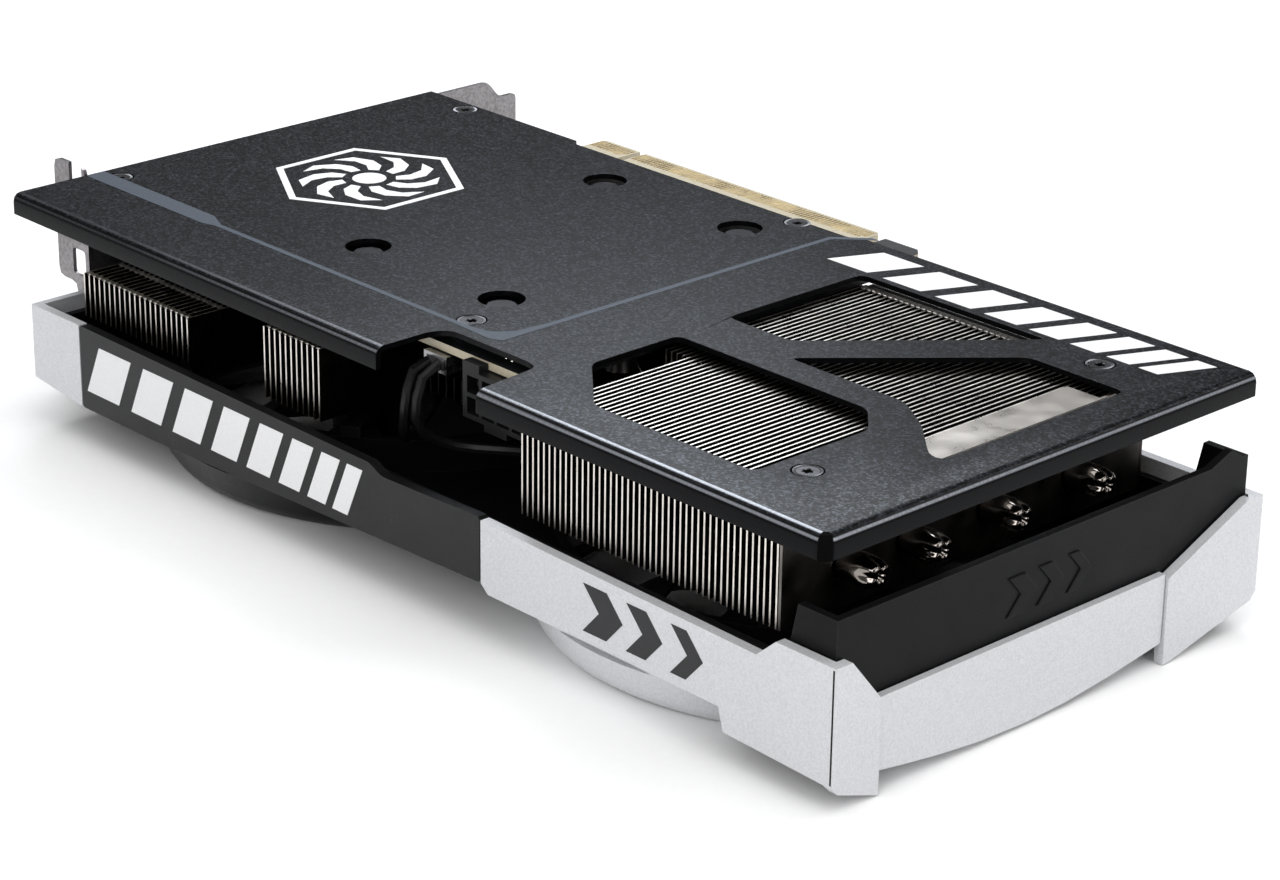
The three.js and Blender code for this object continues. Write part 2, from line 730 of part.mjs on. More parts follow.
function makeTrims() {
  const { x0, x1, y0, y1, rim, trim } = SHELL;
  const near = y0 + trim;
  const inner = x1 - trim;
  const seam = [-211.8, -84]; // joints between the band and the two silver trims
  const recess = 0.6; // the end face lies this far behind its corners
  const ledge = -29.7;
  const corner = [8.3, 84.2];

  const band = softPolygon(
    [
      [seam[0] + GAP, rim],
      [seam[0] + GAP, -39.4],
      [-188, -39.4],
      [seam[1] - GAP, -36],
      [seam[1] - GAP, -22.9],
      [-112.6, -23.8],
      [-116.4, -22.1],
    ],
    0.5,
  );
  piece("near_band", prism(band, "y", y0, near, 1), "black");

  const nearFace = polygon([
    [seam[1], -23.4],
    [seam[1], -36],
    [seam[1] + 2, -37.7],
    [-21.2, -37.7],
    [-20, -42.2],
    [x1, -43],
    [x1, -20.6],
    [-7.8, -20.6],
    [-12.4, -24.6],
  ]);
  const cornerFace = polygon([
    [y0, -20.6],
    [y0, -43],
    [-1.7, -44.5],
    [corner[0], REST_Z],
    [corner[0], ledge],
    [0.8, -20.6],
  ]);
  const arc = { start: -43.6, drop: 3.8, lowest: 46, lip: 1.8 };
  const quarter = (2 * (arc.lowest - corner[0])) / Math.PI;
  const arcBottom = (y) => arc.start - arc.drop * Math.sin((y - corner[0]) / quarter);
  const ys = [corner[0] - 0.1, 16, 24, 34, arc.lowest, 58, 70, corner[1] - GAP];
  const endFace = polygon([
    [ys[0], ledge],
    ...ys.map((y) => [y, arcBottom(y)]),
    [ys.at(-1), ledge],
  ]);
  const along = (rise) => ys.map((y) => [y, arcBottom(y) + rise]);
  const underside = polygon([...along(0), ...along(arc.lip).reverse()]);
  const ringClear = rod(FANS[1], FAN.y, BOWL + GAP, -60, -20, 64);
  const skirt = prism(underside, "x", -14, inner + 0.5).subtract(ringClear);
  const skirtParts = skirt.decompose().filter((part) => part.boundingBox().max[0] > inner);
  const endTrim = joined([
    prism(nearFace, "y", y0, near),
    prism(cornerFace, "x", inner, x1),
    prism(endFace, "x", inner, x1 - recess),
    ...skirtParts,
  ]);
  piece("end_trim", endTrim, "silver");

  const farCorner = polygon([
    [corner[1], -30.6],
    [corner[1], REST_Z],
    [corner[1] + 1.5, REST_Z],
    [y1 - 1.4, -42.6],
    [y1, -41],
    [y1, rim],
    [106.4, rim],
  ]);
  const farFace = polygon([
    [-40, rim],
    [-40, -37.7],
    [-21, -37.7],
    [-20, -41],
    [x1, -41],
    [x1, rim],
  ]);
  const farTrim = prism(farCorner, "x", inner, x1).add(prism(farFace, "y", y1 - trim, y1));
  piece("far_corner_trim", farTrim, "silver");

  const farBand = polygon([
    [seam[0] + GAP, rim],
    [seam[0] + GAP, -38],
    [-40 - GAP, -37.7],
    [-40 - GAP, rim],
  ]);
  piece("far_band", prism(farBand, "y", y1 - trim, y1), "black");

  const startFace = polygon([
    [x0, rim],
    [x0, -37.7],
    [seam[0], -39.4],
    [seam[0], rim],
  ]);
  const startEnd = block(x0, x0 + trim - GAP, y0, 20, -37.7, rim);
  piece("bracket_trim", prism(startFace, "y", y0, near).add(startEnd), "silver");
  piece("bracket_far_trim", prism(startFace, "y", y1 - trim, y1), "silver");
}

// ---------- fans ----------
// One blade: a thin swept plate, pitched and cambered, from inside the hub out to the tip.
function blade(turn) {
  const { spans, chords, thick, arc, arcLoss, sweep, camber } = BLADE;
  const pitch = [12.4, 3.2]; // how far the blade rises across its width, and what it loses to the tip
  const inner = FAN.hub - 1;
  const centre = (FAN.z0 + FAN.z1) / 2;
  const vertices = [];
  for (const side of [0, 1])
    for (let i = 0; i <= spans; i++)
      for (let j = 0; j <= chords; j++) {
        const out = i / spans;
        const across = j / chords - 0.5;
        const r = inner + (FAN.tip - inner) * out;
        const angle = turn + across * (arc - arcLoss * out) + sweep * out * out;
        const bulge = camber * (1 - 4 * across * across) * (1 - 0.4 * out);
        const rise = across * (pitch[0] - pitch[1] * out) + bulge;
        const z = centre + rise + (side ? thick / 2 : -thick / 2);
        vertices.push(r * Math.cos(angle), r * Math.sin(angle), z);
      }
  const at = (side, i, j) => (side * (spans + 1) + i) * (chords + 1) + j;
  const faces = [];
  const quad = (a, b, c, d) => faces.push(a, b, c, a, c, d);
  for (let i = 0; i < spans; i++)
    for (let j = 0; j < chords; j++) {
      quad(at(1, i, j), at(1, i + 1, j), at(1, i + 1, j + 1), at(1, i, j + 1));
      quad(at(0, i, j), at(0, i, j + 1), at(0, i + 1, j + 1), at(0, i + 1, j));
    }
  for (let i = 0; i < spans; i++) {
    quad(at(0, i, 0), at(0, i + 1, 0), at(1, i + 1, 0), at(1, i, 0));
    quad(at(0, i + 1, chords), at(0, i, chords), at(1, i, chords), at(1, i + 1, chords));
  }
  for (let j = 0; j < chords; j++) {
    quad(at(0, 0, j + 1), at(0, 0, j), at(1, 0, j), at(1, 0, j + 1));
    quad(at(0, spans, j), at(0, spans, j + 1), at(1, spans, j + 1), at(1, spans, j));
  }
  const geometry = new THREE.BufferGeometry();
  geometry.setAttribute("position", new THREE.Float32BufferAttribute(vertices, 3));
  geometry.setIndex(faces);
  return toSolid(geometry);
}

function makeFans() {
  FANS.forEach((x, i) => {
    const cup = FAN.hub - HUB.wall;
    const hubProfile = [
      [0, HUB.cap],
      [HUB.face, HUB.cap],
      [FAN.hub, HUB.shoulder],
      [FAN.hub, FAN.z1],
      [cup, FAN.z1],
      [cup, HUB.inside],
      [SHAFT.r, HUB.inside],
      [SHAFT.r, SHAFT.top],
      [0, SHAFT.top],
    ];
    const hub = turned(0, 0, hubProfile, 24);
    const step = (2 * Math.PI) / FAN.blades;
    const blades = Array.from({ length: FAN.blades }, (_, k) => blade(k * step));
    const hollow = ring(0, 0, SHAFT.r, cup, HUB.inside, FAN.z1 + 3, 24);
    const rotor = hub.add(joined(blades).subtract(hollow)).translate([x, FAN.y, 0]);
    piece("fan_rotor_" + (i + 1), rotor, "black");

    const stator = ring(x, FAN.y, STATOR.inner, STATOR.outer, STATOR.z0, STATOR.z1, 16);
    const slots = Array.from({ length: STATOR.poles }, (_, k) => {
      const angle = (2 * Math.PI * (k + 0.5)) / STATOR.poles;
      const slot = new THREE.BoxGeometry(8, STATOR.slot, 30).rotateZ(angle);
      slot.translate(x + 12 * Math.cos(angle), FAN.y + 12 * Math.sin(angle), STATOR.z0);
      return toSolid(slot);
    });
    piece("fan_stator_" + (i + 1), cutBy(stator, slots), "copper");

    const base = rod(0, 0, FAN.hub, FRAME.z0, FRAME.z1, 24);
    const post = rod(0, 0, 3.3, -42, FRAME.z1 - 0.5, 12);
    const arms = [0, 1, 2, 3].map((k) => {
      const arm = new THREE.BoxGeometry(FAN.opening - FAN.hub + 4, FRAME.arm, FRAME.z1 - FRAME.z0);
      arm.translate((FAN.opening + FAN.hub) / 2, 0, (FRAME.z0 + FRAME.z1) / 2);
      return toSolid(arm.rotateZ((Math.PI * k) / 2 + 0.6));
    });
    const bore = rod(0, 0, 1.85, -50, -29, 12);
    const frame = cutBy(joined([base, post, ...arms]), [bore]).translate([x, FAN.y, 0]);
    piece("fan_frame_" + (i + 1), frame, "black");
  });
}

// Each fan's lead drops from the header past the board's edge and runs under the fins to its hub.
const FAN_CABLES = [
  [
    [-119.8, 14.6, -7],
    [-120.2, 11.5, -8],
    [-120.6, 10, -12],
    [-121, 9.5, -18],
    [-124, 12, -23.2],
    [-132, 24, -24.6],
    [-150, 46, -24.6],
    [-154.4, 51.4, -24.8],
    [-155, 52, -25.8],
  ],
  [
    [-117, 14.6, -7],
    [-117, 11.2, -8.4],
    [-117.4, 9.8, -13],
    [-118, 10.5, -19],
    [-117, 17, -24],
    [-104, 28, -24.8],
    [-74, 44, -24.6],
    [-68.6, 48.4, -24.8],
    [-68, 49, -25.8],
  ],
];

function makeFanCables() {
  FAN_CABLES.forEach((route, i) => {
    const path = new THREE.CatmullRomCurve3(route.map((point) => new THREE.Vector3(...point)));
    piece("fan_cable_" + (i + 1), tube(path, 1.1, 8, 20), "black");
  });
}

// ---------- the whole card ----------
makeCover();
makeCoverScrews();
makeRetentionScrews();
makeBoard();
makeChips();
makePowerStage();
makePowerConnector();
makeFanHeader();
makeBracket();
makePorts();
makeBracketScrews();
makeFinStacks();
makeEndPlate();
makeColdPlate();
makeHeatPipes();
makeShroud();
makeFanRings();
makeTrims();
makeFans();
makeFanCables();

// Move the card so that the middle of its footprint is the origin and it stands on Z = 0.
const bounds = new THREE.Box3().setFromObject(card);
const middle = bounds.getCenter(new THREE.Vector3());
card.position.set(-middle.x, -middle.y, -bounds.min.z);

export default card;
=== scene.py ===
"""A two-slot graphics card with two fans, lying on its fan side with the backplate up.

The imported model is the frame: every CAD part keeps its shape and gets a procedural finish. The
printed marks, screws, contacts, hub caps, pipe ends and other small parts are made here. Outlines
are in millimetres from the backplate's corner at the free end and near edge: x along the card,
y across it and z up.
"""
import json
import math

import bmesh
import bpy
from mathutils import Matrix, Vector


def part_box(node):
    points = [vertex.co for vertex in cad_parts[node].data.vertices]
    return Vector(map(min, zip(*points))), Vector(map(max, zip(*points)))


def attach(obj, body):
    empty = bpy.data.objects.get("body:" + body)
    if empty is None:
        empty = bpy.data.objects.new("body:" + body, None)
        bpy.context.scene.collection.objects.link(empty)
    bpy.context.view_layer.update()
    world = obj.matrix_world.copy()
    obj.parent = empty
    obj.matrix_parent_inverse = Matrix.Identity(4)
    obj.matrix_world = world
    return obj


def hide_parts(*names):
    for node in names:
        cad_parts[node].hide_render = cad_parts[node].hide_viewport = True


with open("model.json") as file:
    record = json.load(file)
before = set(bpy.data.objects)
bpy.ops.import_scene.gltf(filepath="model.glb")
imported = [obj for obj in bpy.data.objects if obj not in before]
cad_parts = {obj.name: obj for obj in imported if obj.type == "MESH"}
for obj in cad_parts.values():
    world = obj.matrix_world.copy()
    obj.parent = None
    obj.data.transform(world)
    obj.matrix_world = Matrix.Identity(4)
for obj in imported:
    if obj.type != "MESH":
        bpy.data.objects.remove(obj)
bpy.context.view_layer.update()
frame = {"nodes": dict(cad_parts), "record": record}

MM = 0.001
TAU = 2 * math.pi
COVER_LOW, COVER_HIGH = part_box("backplate")
CORNER = Vector((COVER_HIGH.x, COVER_LOW.y, COVER_HIGH.z))
PRINT = 0.05  # thickness of a printed mark, in millimetres

VIEW_ANGLES = (46.723, 22.337, 0.785)  # azimuth, elevation and roll of the camera, in degrees
VIEW_PLACE = (364.8, -385.9, 235.0)  # the camera, in millimetres from the backplate's corner
LENS, SENSOR = 98.98, 36


def at(x, y, z):
    """A place in the row frame, from millimetres measured at the backplate's corner."""
    return CORNER + Vector((x, y, z)) * MM


def box_mm(node):
    """A CAD node's lowest and highest corners in millimetres from the backplate's corner."""
    return [(corner - CORNER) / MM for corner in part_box(node)]


# ---------- camera, light and floor ----------
def make_camera():
    azimuth, elevation, roll = (math.radians(angle) for angle in VIEW_ANGLES)
    back = Vector(
        (
            math.sin(azimuth) * math.cos(elevation),
            -math.cos(azimuth) * math.cos(elevation),
            math.sin(elevation),
        )
    )
    right = (-back).cross(Vector((0, 0, 1))).normalized()
    up = back.cross(right)
    turned = Matrix((right, up, back)).transposed() @ Matrix.Rotation(roll, 3, "Z")
    data = bpy.data.cameras.new("camera")
    data.sensor_width = SENSOR
    data.lens = LENS
    camera = bpy.data.objects.new("camera", data)
    camera.matrix_world = Matrix.Translation(at(*VIEW_PLACE)) @ turned.to_4x4()
    bpy.context.scene.collection.objects.link(camera)
    bpy.context.scene.camera = camera


def softbox(name, place, aim, size, energy, tint=(1, 1, 1)):
    """A rectangular light at `place`, facing `aim`, both in metres; no camera sees it."""
    data = bpy.data.lights.new(name, "AREA")
    data.shape = "RECTANGLE"
    data.size, data.size_y = size
    data.energy = energy
    data.color = tint
    light = bpy.data.objects.new(name, data)
    light.location = place
    light.rotation_euler = (Vector(aim) - Vector(place)).to_track_quat("-Z", "Y").to_euler()
    light.visible_camera = False
    bpy.context.scene.collection.objects.link(light)


def make_studio():
    bpy.context.scene.view_settings.view_transform = "Standard"
    world = bpy.data.worlds.new("studio")
    world.use_nodes = True
    sky = world.node_tree.nodes["Background"]
    sky.inputs["Color"].default_value = (1, 1, 1, 1)
    sky.inputs["Strength"].default_value = 0.14
    bpy.context.scene.world = world
    cool, cooler = (0.92, 0.96, 1.0), (0.86, 0.92, 1.0)
    near_edge = (0.06, -0.055, 0.048)
    softbox("light_over", (-0.46, 0.40, 0.72), (0.0, 0, 0.03), (0.5, 0.35), 3.6, cool)
    softbox("light_sheen", (-0.155, 0.135, 0.20), near_edge, (0.12, 0.08), 0.08, cooler)
    softbox("light_near", (0.30, -0.6, 0.33), (0.08, 0, 0.02), (0.4, 0.33), 1.6)
    softbox("light_end", (0.95, 0.1, 0.45), (0, 0, 0.02), (0.7, 0.5), 2.3)
    softbox("light_folds_near", (-0.25, -0.13, 0.36), (0.06, -0.07, 0.047), (0.24, 0.05), 0.16)
    softbox("light_folds_end", (0.42, 0.58, 0.68), (0.12, 0, 0.05), (0.5, 0.1), 1.5)
    sun = bpy.data.lights.new("light_sky", "SUN")
    sun.energy, sun.angle = 1.7, math.radians(70)
    above = bpy.data.objects.new("light_sky", sun)
    above.rotation_euler = (math.radians(12), math.radians(8), 0)
    bpy.context.scene.collection.objects.link(above)

    bpy.ops.mesh.primitive_plane_add(size=40, location=(0, 0, -0.0002))
    floor = bpy.context.object
    floor.name = "floor"
    paper = Finish("paper", roughness=0.9)
    paper.paint(paper.blend(paper.noise(2), (0.93, 0.93, 0.93), (0.96, 0.96, 0.96)))
    floor.data.materials.append(paper.material)


# ---------- finishes ----------
class Finish:
    """A material whose node tree is built one node at a time."""

    def __init__(self, name, roughness=0.5, metallic=0.0, **fixed):
        self.material = bpy.data.materials.new(name)
        self.material.use_nodes = True
        self.tree = self.material.node_tree
        self.shader = self.tree.nodes["Principled BSDF"]
        self.shader.inputs["Roughness"].default_value = roughness
        self.shader.inputs["Metallic"].default_value = metallic
        for socket, value in fixed.items():
            self.shader.inputs[socket.replace("_", " ")].default_value = value
        self.place = self.node("TexCoord").outputs["Object"]

    def put(self, socket, value):
        if isinstance(value, bpy.types.NodeSocket):
            self.tree.links.new(value, socket)
        elif isinstance(value, tuple) and len(value) == 3 and len(socket.default_value) == 4:
            socket.default_value = (*value, 1)
        else:
            socket.default_value = value

    def node(self, kind, inputs=None, **settings):
        made = self.tree.nodes.new("ShaderNode" + kind)
        for name, value in settings.items():
            setattr(made, name, value)
        for socket, value in (inputs or {}).items():
            self.put(made.inputs[socket], value)
        return made

    def noise(self, size, detail=2.0, stretch=(1, 1, 1)):
        """Noise whose grains are about `size` millimetres across, from 0 to 1."""
        place = self.place
        if stretch != (1, 1, 1):
            place = self.node("Mapping", {"Vector": place, "Scale": stretch}).outputs[0]
        scale = 1 / (size * MM)
        inputs = {"Vector": place, "Scale": scale, "Detail": detail}
        return self.node("TexNoise", inputs).outputs[0]

    def flecks(self, size):
        """Cells about `size` millimetres across, each with its own grey from 0 to 1."""
        cells = self.node("TexVoronoi", {"Vector": self.place, "Scale": 1 / (size * MM)})
        return self.node("SeparateColor", {"Color": cells.outputs["Color"]}).outputs[0]

    def math(self, operation, a, b=0.0):
        return self.node("Math", {0: a, 1: b}, operation=operation).outputs[0]

    def span(self, value, low, high, to=(0.0, 1.0)):
        inputs = {"Value": value, 1: low, 2: high, 3: to[0], 4: to[1]}
        return self.node("MapRange", inputs).outputs[0]

    def blend(self, factor, first, second):
        mix = self.node("Mix", data_type="RGBA")
        for index, value in ((0, factor), (6, first), (7, second)):
            self.put(mix.inputs[index], value)
        return mix.outputs[2]

    def edges(self, radius):
        """1 within about `radius` millimetres of sharp edges and 0 on open faces."""
        rounded = self.node("Bevel", {"Radius": radius * MM}, samples=4).outputs[0]
        flat = self.node("NewGeometry").outputs["Normal"]
        dot = self.node("VectorMath", {0: rounded, 1: flat}, operation="DOT_PRODUCT")
        return self.span(dot.outputs["Value"], 0.995, 0.85)

    def normal(self, kind="Normal"):
        """The surface's direction as three outputs: x, y and z."""
        return self.node("SeparateXYZ", {0: self.node("NewGeometry").outputs[kind]}).outputs

    def paint(self, colour):
        self.put(self.shader.inputs["Base Color"], colour)
        return self

    def rough(self, value):
        self.put(self.shader.inputs["Roughness"], value)
        return self

    def bumpy(self, height, depth):
        """Raises the surface by `depth` millimetres times `height`."""
        bump = self.node("Bump", {"Height": height, "Distance": depth * MM, "Strength": 1.0})
        self.put(self.shader.inputs["Normal"], bump.outputs[0])
        return self


def powder_coat():
    """The backplate's grainy blue-black coat, with painted shade and highlights on its folds."""
    f = Finish("cover_coat", metallic=0.35, Specular_IOR_Level=0.14)
    grain = f.span(f.noise(0.55, 3), 0.34, 0.6)
    speck = f.span(f.flecks(0.5), 0.35, 1.0)
    grit = f.math("MULTIPLY", grain, speck)
    tone = f.blend(grit, (0.0002, 0.0002, 0.0004), (0.061, 0.066, 0.081))
    _, _, upward = f.normal()
    # Painted shade: the folds and flanges, tilted away from up, are painted near black.
    tone = f.blend(f.span(upward, 0.72, 0.97), (0.0025, 0.0027, 0.0034), tone)

    # Painted highlight: a light band low on each fold and one on the near lip,
    # brighter towards the free end; the coat is also a little smoother along them.
    fold_slope, lip = 0.52, at(0, 1.5, 0).y
    off_fold = f.math("ABSOLUTE", f.math("SUBTRACT", upward, fold_slope))
    fold_highlight = f.span(off_fold, 0.16, 0.05)
    along, across, _ = f.node("SeparateXYZ", {0: f.place}).outputs
    off_lip = f.math("ABSOLUTE", f.math("SUBTRACT", across, lip))
    on_top = f.math("GREATER_THAN", upward, 0.8)
    lip_highlight = f.math("MULTIPLY", f.span(off_lip, 0.45 * MM, 0.2 * MM), on_top)
    painted_highlight = f.math("MAXIMUM", fold_highlight, lip_highlight)
    painted_highlight_fade = f.span(along, at(-200, 0, 0).x, at(-60, 0, 0).x, (0.12, 0.8))
    tone = f.blend(f.math("MULTIPLY", painted_highlight, painted_highlight_fade), tone, (0.34, 0.355, 0.39))
    coarse = f.span(grit, 0, 1, (0.36, 0.27))
    f.paint(tone).rough(f.math("SUBTRACT", coarse, f.math("MULTIPLY", painted_highlight, 0.08)))
    return f.bumpy(grain, 0.008).material


def silver_paint():
    """Fine metallic paint on the shroud's trims."""
    f = Finish("silver_paint", metallic=0.3)
    tone = f.blend(f.flecks(0.3), (0.58, 0.585, 0.605), (0.68, 0.685, 0.705))
    tone = f.blend(f.span(f.noise(25, 2), 0.3, 0.7, (0.0, 0.15)), tone, (0.56, 0.57, 0.60))
    f.paint(tone).rough(f.span(f.noise(0.6), 0.3, 0.7, (0.40, 0.52)))
    return f.bumpy(f.noise(0.45, 2), 0.02).material


def black_plastic(name, tone, roughness, grain, gloss=0.25, wear_and_highlight=0.3):
    """Moulded black plastic, finely spark-eroded, with its edges lighter: wear and painted
    highlight.
    """
    f = Finish(name, Specular_IOR_Level=gloss)
    shade = f.span(f.noise(0.5, 3), 0.3, 0.7, (tone * 0.7, tone * 1.4))
    blue = f.math("MULTIPLY", shade, 1.1)
    colour = f.node("CombineColor", {0: shade, 1: shade, 2: blue}).outputs[0]
    # Wear and painted highlight: sharp edges blend towards grey.
    if wear_and_highlight:
        colour = f.blend(f.math("MULTIPLY", f.edges(0.3), wear_and_highlight), colour, (0.05, 0.05, 0.055))
    f.paint(colour).rough(f.span(f.noise(8, 2), 0.3, 0.7, roughness))
    return f.bumpy(f.noise(0.4, 2), grain).material


def plated(name, tone, spread=0.12, roughness=(0.2, 0.34), streaks=(1, 1, 1), depth=0.0):
    """Plated or bare metal with faint drawing marks and slightly clouded reflections."""
    f = Finish(name, metallic=1.0)
    streak = f.span(f.noise(0.7, 3, streaks), 0.3, 0.7)
    dark = tuple(part * (1 - spread) for part in tone)
    light = tuple(min(part * (1 + spread), 1.0) for part in tone)
    f.paint(f.blend(streak, dark, light)).rough(f.span(f.noise(6, 2), 0.3, 0.7, roughness))
    if depth:
        f.bumpy(f.noise(1.5, 1, streaks), depth)
    return f.material


def fin_metal():
    """Thin plated fins: bright cut edges; faces painted dark brown, as shade between the fins."""
    f = Finish("fin_plating", metallic=1.0)
    along, _, _ = f.normal("True Normal")
    face = f.math("GREATER_THAN", f.math("ABSOLUTE", along), 0.6)
    marks = f.span(f.noise(0.5, 2, (1, 1, 0.2)), 0.3, 0.7)
    edge = f.blend(marks, (0.66, 0.615, 0.56), (0.90, 0.86, 0.80))
    # Painted shade: a near-black copy of the plating for the fins' faces.
    wall = f.blend(marks, (0.040, 0.034, 0.030), (0.07, 0.06, 0.054))
    f.paint(f.blend(face, edge, wall))
    return f.rough(f.span(f.noise(4), 0.3, 0.7, (0.26, 0.36))).material


def plate_metal():
    """The fins' end plate: clouded metal, bright top fold, painted dark reflection on its face."""
    f = Finish("plate_metal", metallic=1.0)
    clouds = f.span(f.noise(9, 3, (0.6, 0.25, 1)), 0.35, 0.65)
    _, _, upward = f.normal()
    fold = f.blend(clouds, (0.36, 0.33, 0.30), (0.62, 0.58, 0.54))
    # Painted reflection: the upright face gets a dark copy of the metal, for the dark wall it
    # faces.
    face = f.blend(clouds, (0.13, 0.12, 0.11), (0.20, 0.185, 0.17))
    f.paint(f.blend(f.math("GREATER_THAN", upward, 0.5), face, fold))
    return f.rough(f.span(f.noise(6, 2), 0.3, 0.7, (0.26, 0.4))).material


def solder_mask():
    """Black solder mask; the connector tongue and the cut edges at its two long sides are tan."""
    f = Finish("solder_mask", Coat_Weight=0.25, Coat_Roughness=0.2)
    traces = f.span(f.flecks(1.6), 0.45, 0.5)
    mask = f.blend(traces, (0.006, 0.007, 0.008), (0.011, 0.013, 0.014))
    tan = f.blend(f.noise(0.4, 3), (0.42, 0.37, 0.26), (0.60, 0.54, 0.41))
    along, across, _ = f.node("SeparateXYZ", {0: f.place}).outputs
    normal = f.normal()
    near_edge = f.math("LESS_THAN", normal[1], -0.5)
    beyond = f.math("GREATER_THAN", across, at(0, 115.4, 0).y)
    before = f.math("LESS_THAN", along, at(-106, 0, 0).x)
    upright = f.math("LESS_THAN", f.math("ABSOLUTE", normal[2]), 0.5)
    bare = f.math("MULTIPLY", beyond, f.math("MAXIMUM", before, upright))
    f.paint(f.blend(f.math("MAXIMUM", near_edge, bare), mask, tan))
    return f.rough(f.span(f.noise(2), 0, 1, (0.3, 0.5))).bumpy(f.flecks(1.6), 0.01).material


def ink(name, tone, roughness=0.5):
    """Screen-printed ink, slightly uneven."""
    f = Finish(name, Specular_IOR_Level=0.3)
    thin = tuple(part * 0.88 for part in tone)
    f.paint(f.blend(f.noise(0.5, 3), thin, tone))
    f.rough(f.span(f.noise(1), 0, 1, (roughness, roughness + 0.15)))
    return f.bumpy(f.noise(0.3), 0.008).material


def make_finishes():
    """Every finish that more than one piece may use, by its short name."""
    return {
        "cover": powder_coat(),
        "silver": silver_paint(),
        "black": black_plastic("black_plastic", 0.006, (0.26, 0.38), 0.014),
        "fins": fin_metal(),
        "plate": plate_metal(),
        "pipes": plated("pipe_plating", (0.26, 0.235, 0.215), 0.1, (0.07, 0.16)),
        "bracket": plated("bracket_plating", (0.26, 0.245, 0.25), 0.25, (0.3, 0.46), depth=0.006),
        "port": plated("port_shell", (0.42, 0.42, 0.43), 0.1, (0.22, 0.36)),
        "screw": plated("screw_steel", (0.085, 0.085, 0.09), 0.15, (0.24, 0.36)),
        # Painted shade: screws deep in their holes get near-black steel, standing for the holes'
        # shade.
        "hole_shade_screw": plated("hole_shade_screw_steel", (0.03, 0.03, 0.032), 0.15, (0.3, 0.42)),
        "winding": plated("copper_wire", (0.60, 0.26, 0.13), 0.2, (0.25, 0.4), (1, 1, 8), 0.1),
        "shroud": black_plastic("shroud_plastic", 0.004, (0.3, 0.42), 0.012, 0.1),
        "cable": black_plastic("cable_sleeve", 0.006, (0.3, 0.4), 0.02, 0.3, 0.0),
        "gap": black_plastic("gap_shade", 0.0012, (0.7, 0.85), 0.01, 0.04, 0.0),
        "fan": black_plastic("fan_plastic", 0.011, (0.3, 0.42), 0.01, 0.35, 0.0),
        "cap": plated("hub_cap_metal", (0.20, 0.20, 0.21), 0.06, (0.24, 0.3)),
        "hub_ink": ink("hub_ink", (0.5, 0.5, 0.52)),
        "ferrite": black_plastic("ferrite", 0.03, (0.5, 0.65), 0.03),
        "chip": black_plastic("chip_epoxy", 0.014, (0.45, 0.6), 0.01),
        "board": solder_mask(),
        "white_ink": ink("white_ink", (0.86, 0.86, 0.87)),
        "tab": plated("tab_metal", (0.90, 0.86, 0.80), 0.1, (0.25, 0.35)),
        "gilt": plated("gilt", (0.86, 0.66, 0.34), 0.1, (0.22, 0.34)),
    }


# ---------- building meshes ----------
def mesh_piece(name, bm, material, body="root", smooth=False):
    """Turns a bmesh, in millimetres from the backplate's corner, into a piece that rides."""
    bmesh.ops.recalc_face_normals(bm, faces=bm.faces)
    mesh = bpy.data.meshes.new(name)
    bm.to_mesh(mesh)
    bm.free()
    mesh.transform(Matrix.Translation(CORNER) @ Matrix.Scale(MM, 4))
    if smooth:
        mesh.shade_smooth()
    piece = bpy.data.objects.new(name, mesh)
    bpy.context.scene.collection.objects.link(piece)
    mesh.materials.append(material)
    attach(piece, body)
    return piece


def smoothing_group(angle=32):
    """A modifier group that shades smoothly across edges flatter than `angle` degrees."""
    tree = bpy.data.node_groups.new("smooth_by_angle", "GeometryNodeTree")
    for way in ("INPUT", "OUTPUT"):
        tree.interface.new_socket("Geometry", in_out=way, socket_type="NodeSocketGeometry")
    add, link = tree.nodes.new, tree.links.new
    source, result = add("NodeGroupInput"), add("NodeGroupOutput")
    weld = add("GeometryNodeMergeByDistance")
    weld.inputs["Distance"].default_value = 0.001 * MM
    plain = add("GeometryNodeRemoveAttribute")
    plain.inputs["Name"].default_value = "custom_normal"
    bend = add("GeometryNodeInputMeshEdgeAngle")
    sharp = add("FunctionNodeCompare")
    sharp.operation = "GREATER_THAN"
    sharp.inputs["B"].default_value = math.radians(angle)
    smooth, crease = add("GeometryNodeSetShadeSmooth"), add("GeometryNodeSetShadeSmooth")
    crease.domain = "EDGE"
    crease.inputs["Shade Smooth"].default_value = False
    link(source.outputs[0], weld.inputs["Geometry"])
    link(weld.outputs[0], plain.inputs["Geometry"])
    link(plain.outputs[0], smooth.inputs["Geometry"])
    link(smooth.outputs[0], crease.inputs["Geometry"])
    link(bend.outputs["Unsigned Angle"], sharp.inputs["A"])
    link(sharp.outputs[0], crease.inputs["Selection"])
    link(crease.outputs[0], result.inputs[0])
    return tree


def soften(node, group, width=0.0):
    """Smooths a CAD node's shading and, where asked, rounds its edges by `width` millimetres."""
    node.modifiers.new("smooth", "NODES").node_group = group
    if width:
        bevel = node.modifiers.new("edge", "BEVEL")
        bevel.width, bevel.segments = width * MM, 2
        bevel.angle_limit = math.radians(40)
        bevel.harden_normals = True


def basis(origin, u, v):
    """A matrix that lays outlines drawn in (u, v) on the plane through `origin`."""
    u, v = Vector(u), Vector(v)
    turned = Matrix((u, v, u.cross(v))).transposed().to_4x4()
    return Matrix.Translation(Vector(origin)) @ turned


ON_TOP = basis((0, 0, 0), (1, 0, 0), (0, 1, 0))


